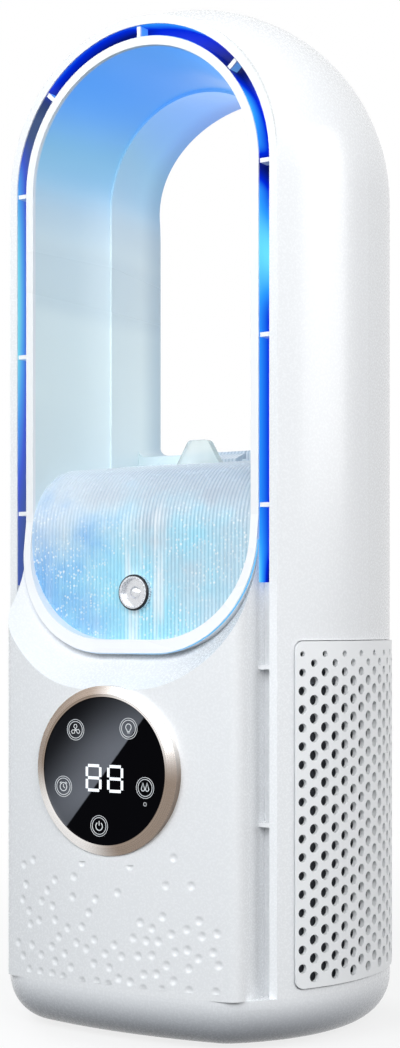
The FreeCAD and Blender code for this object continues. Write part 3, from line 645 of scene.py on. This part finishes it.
def side_cover(name, side):
    """Round wall plate with staggered holes that shrink towards its top edge."""
    plate = Pattern(name + " pattern", {
        "Columns": HOLE_COLUMNS, "Rows": HOLE_ROWS, "Column pitch": 4.41 * MM, "Row pitch": 5.86 * MM,
        "Hole radius": 1.72 * MM, "Small radius": 0.75 * MM, "Fade height": 13.5 * MM,
        "Front margin": 2.5 * MM, "Lowest row": 26.0 * MM,
        "Width": (math.radians(GRILLE_TO - GRILLE_FROM) * BODY_R - PLATE_GAP) * MM,
        "Height": (GRILLE_HIGH - GRILLE_LOW - PLATE_GAP) * MM,
        "Middle height": (GRILLE_HIGH + GRILLE_LOW) / 2 * MM,
        "Corner": 3.0 * MM, "Thickness": PLATE_THICK * MM,
        "Wall radius": (BODY_R + GRILLE_PROUD - PLATE_THICK) * MM,
        "Middle angle": math.radians((GRILLE_FROM + GRILLE_TO) / 2) * side, "Depth shift": DEPTH_SHIFT * MM,
    })
    size = plate.size
    last_column, last_row = HOLE_COLUMNS - 1.0, HOLE_ROWS - 1.0
    grid = plate.make("MeshGrid", {
        "Vertices X": size("Columns"), "Vertices Y": size("Rows"),
        "Size X": plate.times(size("Column pitch"), last_column),
        "Size Y": plate.times(size("Row pitch"), last_row)})
    x, y, _ = plate.here()
    column = plate.math("ROUND", plate.add(plate.over(x, size("Column pitch")), last_column / 2))
    odd = plate.math("MODULO", column, 2.0)
    slide = plate.add(size("Front margin"), plate.times(size("Column pitch"), last_column / 2))
    slide = plate.minus(slide, plate.times(size("Width"), 0.5))
    lift = plate.minus(size("Lowest row"), size("Middle height"))
    lift = plate.add(lift, plate.times(size("Row pitch"), last_row / 2))
    lift = plate.minus(lift, plate.times(plate.times(odd, size("Row pitch")), 0.5))
    points = plate.shift(grid, Offset=plate.join_xyz(plate.times(slide, side), lift))
    from_top = plate.minus(plate.times(size("Height"), 0.5), y)
    below = plate.math("DIVIDE", from_top, size("Fade height"), clamp=True)
    spread = plate.minus(size("Hole radius"), size("Small radius"))
    radius = plate.add(size("Small radius"), plate.times(spread, below))
    from_middle = plate.size_of(plate.minus(column, last_column / 2))
    at_edge = plate.math("GREATER_THAN", from_middle, (last_column - 1.0) / 2)
    radius = plate.times(radius, plate.minus(1.0, plate.times(at_edge, EDGE_SHRINK)))
    ring = plate.make("CurvePrimitiveCircle", {"Resolution": 14, "Radius": 1.0})
    holes = plate.make("InstanceOnPoints", {
        "Points": points, "Instance": ring, "Scale": plate.join_xyz(radius, radius, 1.0)})
    holes = plate.make("RealizeInstances", {0: holes})
    edge = plate.make("CurvePrimitiveQuadrilateral", {"Width": size("Width"), "Height": size("Height")})
    edge = plate.make("FilletCurve", {"Curve": edge, "Count": 6, "Radius": size("Corner")}, mode="POLY")
    edge = plate.make("SubdivideCurve", {"Curve": edge, "Cuts": 30})
    sheet = plate.make("FillCurve", {"Curve": plate.join(edge, holes)})
    raised = plate.make("ExtrudeMesh", {
        "Mesh": sheet, "Offset": (0.0, 0.0, 1.0), "Offset Scale": size("Thickness"), "Individual": False})
    back = plate.make("FlipFaces", {0: sheet})
    whole = plate.make("MergeByDistance", {"Geometry": plate.join(raised, back), "Distance": 1e-6})
    x, y, z = plate.here()
    angle = plate.add(size("Middle angle"), plate.over(x, BODY_R * MM))
    reach = plate.add(size("Wall radius"), z)
    bent = plate.join_xyz(plate.times(plate.math("SINE", angle), reach),
                          plate.minus(size("Depth shift"), plate.times(plate.math("COSINE", angle), reach)),
                          plate.add(y, size("Middle height")))
    plate.end(plate.shift(whole, Position=bent), COVER_WHITE)
    return plate.run(name, 35.0)


def shade_sheet(name, side):
    """Dark sheet behind a side cover, painting the shade inside its holes."""
    low, high, steps = GRILLE_LOW + SHADE_SHEET_MARGIN, GRILLE_HIGH - SHADE_SHEET_MARGIN, 48
    start, stop = GRILLE_FROM + SHADE_SHEET_MARGIN_DEG, GRILLE_TO - SHADE_SHEET_MARGIN_DEG
    rings = []
    for step in range(steps + 1):
        angle = math.radians(start + (stop - start) * step / steps) * side
        rings.append([spot(radius * math.sin(angle), -radius * math.cos(angle), z) for radius, z in (
            (SHADE_SHEET_OUT, low), (SHADE_SHEET_OUT, high), (SHADE_SHEET_IN, high), (SHADE_SHEET_IN, low))])
    return tube(name, rings, SHADE_SHEET_DARK)


for label, side in (("right", 1.0), ("left", -1.0)):
    on_body(side_cover("side_cover_" + label, side), "white_grille", "grille_" + label)
    on_body(shade_sheet("shade_sheet_" + label, side), "grey_plastic")


# Front panel with its dimples

WINDOW_HALF = 42.0          # the window of the bulge that the dimples fill
WINDOW_LOW = 19.0
WINDOW_HIGH = 67.0
UNDER_BEZEL_HALF = 21.0     # the part of the window below the bezel ends lower
UNDER_BEZEL_TOP = 58.0
WINDOW_STEP = 2.0
BEZEL_CLEAR = 3.4           # bare ring of panel round the bezel
BULGE_AXIS_Y = depth_at(PANEL_Y + PANEL_R)


def bulge_y(x):
    return BULGE_AXIS_Y - math.sqrt((PANEL_R * MM) ** 2 - x * x)


def in_window(x, z):
    inside = abs(x) < WINDOW_HALF * MM and WINDOW_LOW * MM < z < WINDOW_HIGH * MM
    return inside and not (abs(x) < UNDER_BEZEL_HALF * MM and z > UNDER_BEZEL_TOP * MM)


def panel_field():
    """Points, faces and corner normals of the CAD panel, without the window of its bulge."""
    mesh = NODES["front_panel"].data.copy()
    store = mesh.attributes.new("made normal", "FLOAT_VECTOR", "CORNER")
    for slot, corner in zip(store.data, mesh.corner_normals):
        slot.vector = corner.vector
    form = bmesh.new()
    form.from_mesh(mesh)
    near = 0.1 * MM

    def on_bulge(face):
        return all(vert.co.y < 0.0 and abs(vert.co.y - bulge_y(vert.co.x)) < near for vert in face.verts)

    def cut(faces, place, normal):
        parts = {part for face in faces for part in (face, *face.edges, *face.verts)}
        made = bmesh.ops.bisect_plane(form, geom=list(parts), plane_co=place, plane_no=normal, dist=1e-7)
        return [part for part in made["geom"] if isinstance(part, bmesh.types.BMFace)]

    faces = [face for face in form.faces if on_bulge(face)]
    for z in (WINDOW_LOW, UNDER_BEZEL_TOP, WINDOW_HIGH):
        faces = cut(faces, (0.0, 0.0, z * MM), (0.0, 0.0, 1.0))
    low, high = mm(WINDOW_LOW, WINDOW_HIGH)
    faces = [face for face in faces if low < face.calc_center_median().z < high]
    lines = int(2 * WINDOW_HALF / WINDOW_STEP)
    for line in range(lines + 1):
        faces = cut(faces, ((line * WINDOW_STEP - WINDOW_HALF) * MM, 0.0, 0.0), (1.0, 0.0, 0.0))
    middles = {face: face.calc_center_median() for face in faces}
    gone = [face for face, middle in middles.items() if in_window(middle.x, middle.z)]
    for vert in {vert for face in gone for vert in face.verts}:
        vert.co.y = bulge_y(vert.co.x)
    bmesh.ops.delete(form, geom=gone, context="FACES")
    layer = form.loops.layers.float_vector["made normal"]
    form.verts.index_update()
    points = [vert.co.copy() for vert in form.verts]
    faces = [tuple(vert.index for vert in face.verts) for face in form.faces]
    normals = [loop[layer].normalized() for face in form.faces for loop in face.loops]
    form.free()
    return points, faces, normals


def dimple_patch(name):
    """Fine sheet on the window of the bulge with small cups pressed in, denser towards its foot."""
    patch = Pattern("panel dimples", {
        "Columns": 241, "Rows": 145, "Half width": WINDOW_HALF * MM, "Lowest": WINDOW_LOW * MM,
        "Highest": WINDOW_HIGH * MM, "Least gap": 4.3 * MM, "Cup radius": 1.40 * MM,
        "Cup depth": 0.42 * MM, "Seed": 7,
    })
    size = patch.size
    height = patch.minus(size("Highest"), size("Lowest"))
    sheet = patch.make("MeshGrid", {
        "Vertices X": size("Columns"), "Vertices Y": size("Rows"),
        "Size X": patch.times(size("Half width"), 2.0), "Size Y": height})
    x, y, _ = patch.here()
    share = patch.add(patch.over(y, height), 0.5)
    z = patch.add(patch.times(share, height), size("Lowest"))
    thin = patch.minus(1.0, patch.times(share, 0.78))
    from_display = patch.away(x, patch.minus(z, DISPLAY_Z * MM))
    across = patch.size_of(x)
    side_end = patch.minus(size("Half width"), size("Cup radius"))
    clear = patch.times(patch.math("GREATER_THAN", from_display, (BEZEL_R + BEZEL_CLEAR) * MM),
                        patch.math("LESS_THAN", across, side_end))
    cups = patch.make("DistributePointsOnFaces", {
        "Mesh": sheet, "Distance Min": size("Least gap"), "Density Max": 260000.0,
        "Density Factor": patch.times(thin, clear), "Seed": size("Seed")}, distribute_method="POISSON")
    from_cup = patch.node("GeometryNodeProximity", {0: cups}, target_element="POINTS").outputs["Distance"]
    reach = patch.over(from_cup, size("Cup radius"))
    press = patch.math("SUBTRACT", 1.0, patch.times(reach, reach), clamp=True)
    root = patch.math("SQRT", patch.minus((PANEL_R * MM) ** 2, patch.times(x, x)))
    depth = patch.add(patch.minus(BULGE_AXIS_Y, root), patch.times(press, size("Cup depth")))
    bezel_side = patch.times(patch.math("LESS_THAN", across, UNDER_BEZEL_HALF * MM),
                             patch.math("GREATER_THAN", z, UNDER_BEZEL_TOP * MM))
    sheet = patch.make("DeleteGeometry", {"Geometry": sheet, "Selection": bezel_side}, domain="FACE")
    patch.end(patch.shift(sheet, Position=patch.join_xyz(x, depth, z)), SHELL_WHITE)
    return patch.run(name, 80.0)


def dimpled_panel(name):
    """The bulging panel in one mesh: the CAD panel round the window and the dimpled sheet in it."""
    points, faces, normals = panel_field()
    made = dimple_patch(name)
    sheet = made.data
    turned = sheet.polygons[0].normal.y > 0.0
    first = len(points)
    points += [vert.co.copy() for vert in sheet.vertices]
    sheet_normals = [corner.vector.copy() for corner in sheet.corner_normals]
    for face in sheet.polygons:
        corners = list(face.loop_indices)
        if turned:
            corners.reverse()
        faces.append(tuple(first + sheet.loops[corner].vertex_index for corner in corners))
        normals += [-sheet_normals[corner] if turned else sheet_normals[corner] for corner in corners]
    mesh = bpy.data.meshes.new(name)
    mesh.from_pydata([tuple(point) for point in points], [], faces)
    mesh.shade_smooth()
    mesh.normals_split_custom_set([tuple(normal) for normal in normals])
    mesh.materials.append(SHELL_WHITE.material)
    made.data = mesh
    return made


on_body(dimpled_panel("panel_dimpled"), "white_shell", "front_panel")


# Painted light in the slot and a painted glow along the foot of the loop

# thin sheets on the slot walls that carry painted light
LIGHT_SHEET_THICK = 0.25
LIGHT_SHEET_FRONT_Y = FRONT_Y + 0.5
LIGHT_SHEET_BACK_Y = STRIP_FRONT_Y - 0.2
BEAD_R = 0.35
BEAD_SIDES = 8
BEAD_TOP_Z = 162.0
BEAD_BEHIND = 0.9           # distance of the bead behind the ring's leaning edge


def arch_line(half):
    """Points (x, z) up one side of the slot, over the arch and down the other."""
    steps = 12
    sides = [SLOT_END_Z + (LOOP_Z - SLOT_END_Z) * step / steps for step in range(steps)]
    over = bow(0.0, LOOP_Z, half, 0, 180, 48)
    return [(half, z) for z in sides] + over + [(-half, z) for z in reversed(sides)]


def slot_light_sheet(name, half):
    """Thin sheet along one wall of the slot that carries its painted blue light."""
    rings = []
    for (x0, z0), (x1, z1) in zip(arch_line(half), arch_line(half + LIGHT_SHEET_THICK)):
        rings.append([spot(x0, LIGHT_SHEET_FRONT_Y, z0), spot(x1, LIGHT_SHEET_FRONT_Y, z1),
                      spot(x1, LIGHT_SHEET_BACK_Y, z1), spot(x0, LIGHT_SHEET_BACK_Y, z0)])
    return tube(name, rings, SLOT_PAINTED_LIGHT)


def seam_bead(name):
    """Thin bead with a painted glow along the foot of the ring, just behind its leaning front edge."""
    corner = U_CORNER_R + RING_R - RING_IN_R
    corner_z, steps = U_FLOOR_Z - RING_FLOOR + corner, 6
    right = [(RING_R, BEAD_TOP_Z - (BEAD_TOP_Z - corner_z) * step / steps) for step in range(steps)]
    right += bow(RING_R - corner, corner_z, corner, 0, -90, 24)
    path = right + [(-x, z) for x, z in reversed(right)]
    rings = []
    for (x, z), (out_x, out_z) in zip(path, sideways(path)):
        share = min(max((LEAN_TOP_Z - z) / (LEAN_TOP_Z - LEAN_LOW_Z), 0.0), 1.0)
        y = FRONT_Y - LEAN * share + BEAD_BEHIND
        rings.append([spot(x - out_x * out, y + back, z - out_z * out)
                      for out, back in bow(0.0, 0.0, BEAD_R, 0, 360, BEAD_SIDES)[:-1]])
    return tube(name, rings, SEAM_PAINTED_GLOW, 60.0)


on_body(slot_light_sheet("slot_light_sheet_inner", RING_R), "light_blue")
on_body(slot_light_sheet("slot_light_sheet_outer", SLOT_R - LIGHT_SHEET_THICK), "light_blue")
on_body(seam_bead("seam_painted_glow"), "light_blue")


# Ribs of the tank cover

def round_through(a, b, c, steps):
    """Points from a through b to c on their common circle."""
    (ax, ay), (bx, by), (cx, cy) = a, b, c
    d = 2 * (ax * (by - cy) + bx * (cy - ay) + cx * (ay - by))
    a2, b2, c2 = ax * ax + ay * ay, bx * bx + by * by, cx * cx + cy * cy
    mx = (a2 * (by - cy) + b2 * (cy - ay) + c2 * (ay - by)) / d
    my = (a2 * (cx - bx) + b2 * (ax - cx) + c2 * (bx - ax)) / d
    start, stop = (math.degrees(math.atan2(y - my, x - mx)) for x, y in (a, c))
    if start < 0 < stop:
        start += 360
    return bow(mx, my, math.hypot(ax - mx, ay - my), start, stop, steps)


COVER_ARC = round_through((-38.5, 165.6), (-34.3, 179.0), (-22.0, 188.0), 9)
COVER_LINE = [(-38.8, 130.0), *COVER_ARC, (-10.0, 189.46)]     # (depth, height) up the cover's front
NOZZLE_CLEAR_R = 6.4


def follow(pattern, share, values):
    """A place in metres that runs through values in millimetres as the share goes from 0 to 1."""
    least, most, last = min(values), max(values), len(values) - 1
    made = pattern.node("ShaderNodeFloatCurve", {"Value": share})
    points = made.mapping.curves[0].points
    for number, value in enumerate(values):
        at = number / last, (value - least) / (most - least)
        if 0 < number < last:
            points.new(*at)
        else:
            points[0 if number == 0 else -1].location = at
    for point in points:
        point.handle_type = "VECTOR"
    made.mapping.update()
    return pattern.remap(made.outputs[0], 0.0, 1.0, *mm(least, most))


def cover_ribs(name):
    """Fine upright ribs on the front of the tank cover, ending on the round corners of the loop's foot."""
    ribs = Pattern("cover ribs", {
        "Count": RIB_COUNT, "Spacing": RIB_PITCH * MM, "Rib radius": 0.40 * MM, "Floor": U_FLOOR_Z * MM,
        "Corner": U_CORNER_R * MM, "Corner from": (RING_IN_R - U_CORNER_R) * MM,
    })
    size = ribs.size
    share = ribs.over(ribs.make("InputIndex"), len(COVER_LINE) - 1.0)
    y = follow(ribs, share, [depth + DEPTH_SHIFT for depth, _ in COVER_LINE])
    z = follow(ribs, share, [height for _, height in COVER_LINE])
    line = ribs.make("MeshLine", {"Count": len(COVER_LINE)})
    line = ribs.shift(line, Position=ribs.join_xyz(0.0, y, z))
    line = ribs.make("ResampleCurve", {"Curve": ribs.make("MeshToCurve", {0: line}), "Count": 40})
    row = ribs.make("MeshLine", {"Count": size("Count"), "Offset": ribs.join_xyz(size("Spacing"))})
    half = ribs.times(ribs.minus(size("Count"), 1.0), 0.5)
    row = ribs.shift(row, Offset=ribs.join_xyz(ribs.times(ribs.times(half, size("Spacing")), -1.0)))
    lines = ribs.make("InstanceOnPoints", {"Points": row, "Instance": line})
    lines = ribs.make("RealizeInstances", {0: lines})
    x, _, z = ribs.here()
    out = ribs.math("MAXIMUM", ribs.minus(ribs.size_of(x), size("Corner from")), 0.0)
    square = ribs.minus(ribs.times(size("Corner"), size("Corner")), ribs.times(out, out))
    root = ribs.math("SQRT", ribs.math("MAXIMUM", square, 0.0))
    foot = ribs.minus(ribs.add(size("Floor"), size("Corner")), root)
    from_nozzle = ribs.away(x, ribs.minus(z, NOZZLE_Z * MM))
    gone = ribs.math("MAXIMUM", ribs.math("LESS_THAN", z, foot),
                     ribs.math("LESS_THAN", from_nozzle, NOZZLE_CLEAR_R * MM))
    lines = ribs.make("DeleteGeometry", {"Geometry": lines, "Selection": gone})
    bead = ribs.make("CurvePrimitiveCircle", {"Resolution": 6, "Radius": size("Rib radius")})
    ribs.end(ribs.make("CurveToMesh", {"Curve": lines, "Profile Curve": bead}), RIBBED)
    return ribs.run(name, 60.0)


on_body(cover_ribs("cover_ribs"), "cover_ribbed")


# Lit signs of the display

SIGN_FRONT_Y = GLASS_FRONT_Y - 0.06
SIGN_BACK_Y = GLASS_FRONT_Y + 0.02
SIGN_LINE = 0.26


def strokes_piece(name, strokes, finish):
    """Flat lit lines that lie on the display glass. A stroke is (width, points)."""
    points, faces = [], []
    for width, line in strokes:
        closed = math.dist(line[0], line[-1]) < 1e-6
        path = line[:-1] if closed else line
        faces += tube_faces(len(path), 4, closed, len(points))
        for (x, z), (out_x, out_z) in zip(path, sideways(path, closed)):
            for y, side in ((SIGN_FRONT_Y, 1), (SIGN_FRONT_Y, -1), (SIGN_BACK_Y, -1), (SIGN_BACK_Y, 1)):
                out = side * width / 2
                points.append(spot(x + out_x * out, y, z + out_z * out))
    return solid(name, points, faces, finish)


def moved(line, cx, cz):
    return [(x + cx, z + cz) for x, z in line]


def sign(cx, cz, *strokes):
    """Two rings round strokes that are given from the sign's middle."""
    rings = [(0.16, bow(0.0, 0.0, 3.35, 0, 360)), (0.20, bow(0.0, 0.0, 2.70, 0, 360))]
    return [(width, moved(line, cx, cz)) for width, line in (*rings, *strokes)]


def fan_sign(cx, cz):
    blade = [(0.0, 0.25), (-0.75, 0.95), (-0.45, 1.7), (0.35, 1.75), (0.55, 1.1), (0.0, 0.25)]
    strokes = [(SIGN_LINE, bow(0.0, 0.0, 0.28, 0, 360, 10))]
    for turn in (0, 120, 240):
        c, s = math.cos(math.radians(turn)), math.sin(math.radians(turn))
        strokes.append((SIGN_LINE, [(x * c - z * s, x * s + z * c) for x, z in blade]))
    return sign(cx, cz, *strokes)


def lamp_sign(cx, cz):
    return sign(cx, cz, (SIGN_LINE, bow(0.0, 0.45, 1.05, -55, 235)),
                (SIGN_LINE, [(0.6, -0.41), (0.5, -0.9), (-0.5, -0.9), (-0.6, -0.41)]),
                (SIGN_LINE, [(-0.45, -1.35), (0.45, -1.35)]))


def timer_sign(cx, cz):
    return sign(cx, cz, (0.28, bow(0.0, -0.1, 1.35, 0, 360)),
                (SIGN_LINE, [(0.0, 0.75), (0.0, -0.1), (0.62, -0.5)]),
                (SIGN_LINE, [(-1.45, 1.0), (-0.85, 1.5)]),
                (SIGN_LINE, [(1.45, 1.0), (0.85, 1.5)]))


def mist_sign(cx, cz):
    drops = [[(x, 1.6), *bow(x, -0.4, 0.62, 15, -195), (x, 1.6)] for x in (-0.8, 0.8)]
    return sign(cx, cz, *((SIGN_LINE, drop) for drop in drops))


def power_sign(cx, cz):
    return sign(cx, cz, (0.30, bow(0.0, -0.1, 1.3, 125, 415)), (0.30, [(0.0, 1.6), (0.0, 0.1)]))


def lit_digit(cx, cz):
    """Seven-segment figure with all its bars lit."""
    wide, tall, gap, bar = 2.65, 3.95, 0.45, 0.95
    bars = [[(-wide + gap, z), (wide - gap, z)] for z in (-tall, 0.0, tall)]
    for x in (-wide, wide):
        bars += [[(x, gap), (x, tall - gap)], [(x, -gap), (x, gap - tall)]]
    return [(bar, moved(line, cx, cz)) for line in bars]


SIGNS = {
    "icon_fan": (fan_sign(-11.3, 100.8), LIT_ICON),
    "icon_lamp": (lamp_sign(9.6, 101.8), LIT_ICON),
    "icon_timer": (timer_sign(-16.2, 82.2), LIT_ICON),
    "icon_mist": (mist_sign(16.0, 83.2), LIT_ICON),
    "icon_power": (power_sign(-1.9, 70.1), LIT_ICON),
    "icon_dot": ([(0.30, bow(16.0, 78.0, 0.55, 0, 360, 14))], DIM_DOT),
    "lit_digits": (lit_digit(-4.1, 85.5) + lit_digit(4.4, 85.5), LIT_PRINT),
}
for name, (strokes, finish) in SIGNS.items():
    on_body(strokes_piece(name, strokes, finish), "display_black")


# Stage, light and camera

WHITE = (1.0, 1.0, 1.0, 1.0)
FLOOR_REACH = 4.0
FLOOR_BOUNCE = (0.05, 0.052, 0.056)     # tone of the floor for the light it throws back
FLOOR_FADE = 80.0, 550.0                # distances between which the floor fades to white
SKY_TONE = (0.88, 0.94, 1.0, 1.0)
SKY_LEVEL = (0.02, 0.10)                # light of the sky at the horizon and above
CAMERA_PLACE = (0.3513, -0.5532, 0.1361)
CAMERA_AZIMUTH = 32.6
CAMERA_LENS = 64.5
CAMERA_SHIFT = 0.0926


def seen_directly(wiring):
    """1 for the rays that show a background: straight from the camera, mirrored, or through clear parts."""
    rays = wiring.node("ShaderNodeLightPath").outputs
    return wiring.math("MAXIMUM", rays["Is Camera Ray"],
                       wiring.math("MAXIMUM", rays["Is Glossy Ray"], rays["Is Transmission Ray"]))


def floor():
    """White paper under the object, with a soft shadow, that throws little light back."""
    far = FLOOR_REACH
    mesh = bpy.data.meshes.new("floor")
    mesh.from_pydata([(-far, -far, 0), (far, -far, 0), (far, far, 0), (-far, far, 0)], [], [(0, 1, 2, 3)])
    paper = Finish("floor paper", Roughness=0.9)
    seen = seen_directly(paper)
    grain = paper.mottle(paper.noise(3.0), (0.70, 0.71, 0.72), (0.74, 0.75, 0.76))
    paper.put(Base_Color=paper.blend(seen, FLOOR_BOUNCE, grain))
    x, y, _ = paper.split_xyz(paper.place)
    white = paper.ease(paper.away(x, y), *mm(*FLOOR_FADE), 0.80, 1.0)
    glow = paper.node("ShaderNodeEmission", {0: WHITE, 1: 1.0})
    mixed = paper.node("ShaderNodeMixShader", {
        0: paper.times(seen, white), 1: paper.surface.outputs[0], 2: glow.outputs[0]})
    paper.feed(paper.output.inputs[0], mixed.outputs[0])
    mesh.materials.append(paper.material)
    placed("floor", mesh)


def sky():
    """White behind the object, and a weak, cool light from above."""
    world = bpy.data.worlds.new("studio")
    bpy.context.scene.world = world
    world.use_nodes = True
    air = Wiring()
    air.tree = world.node_tree
    air.tree.nodes.clear()
    height = air.split_xyz(air.node("ShaderNodeTexCoord").outputs["Generated"])[2]
    soft = air.node("ShaderNodeBackground", {0: SKY_TONE, 1: air.remap(height, -0.05, 0.4, *SKY_LEVEL)})
    white = air.node("ShaderNodeBackground", {0: WHITE, 1: 1.0})
    mixed = air.node("ShaderNodeMixShader", {0: seen_directly(air), 1: soft.outputs[0], 2: white.outputs[0]})
    air.node("ShaderNodeOutputWorld", {0: mixed.outputs[0]})


def soft_box(name, place, aim_z, side, watts, tone=(1.0, 1.0, 1.0)):
    """Square soft light that looks at a height on the object's axis."""
    lamp = bpy.data.lights.new(name, "AREA")
    lamp.shape = "SQUARE"
    lamp.size = side
    lamp.energy = watts
    lamp.color = tone
    made = placed(name, lamp)
    made.location = place
    made.rotation_euler = (Vector((0.0, 0.0, aim_z)) - Vector(place)).to_track_quat("-Z", "Y").to_euler()


def camera():
    lens = bpy.data.cameras.new("camera")
    lens.sensor_width = 36.0
    lens.lens = CAMERA_LENS
    lens.shift_y = CAMERA_SHIFT
    made = placed("camera", lens)
    made.location = CAMERA_PLACE
    made.rotation_euler = (math.radians(90.0), 0.0, math.radians(CAMERA_AZIMUTH))
    bpy.context.scene.camera = made


floor()
sky()
soft_box("key light", (0.72, -0.74, 0.60), 0.27, 0.6, 6.1)
soft_box("right light", (1.1, 0.40, 0.60), 0.27, 0.7, 6.4)
soft_box("front light", (-0.05, -0.80, 0.62), 0.22, 0.6, 5.9, (0.95, 0.98, 1.0))
soft_box("left light", (-0.9, -0.6, 0.8), 0.27, 0.7, 1.2, (0.92, 0.96, 1.0))
soft_box("back light", (-1.05, 0.50, 0.60), 0.20, 0.8, 11.0)
camera()
bpy.context.scene.view_settings.view_transform = "Standard"
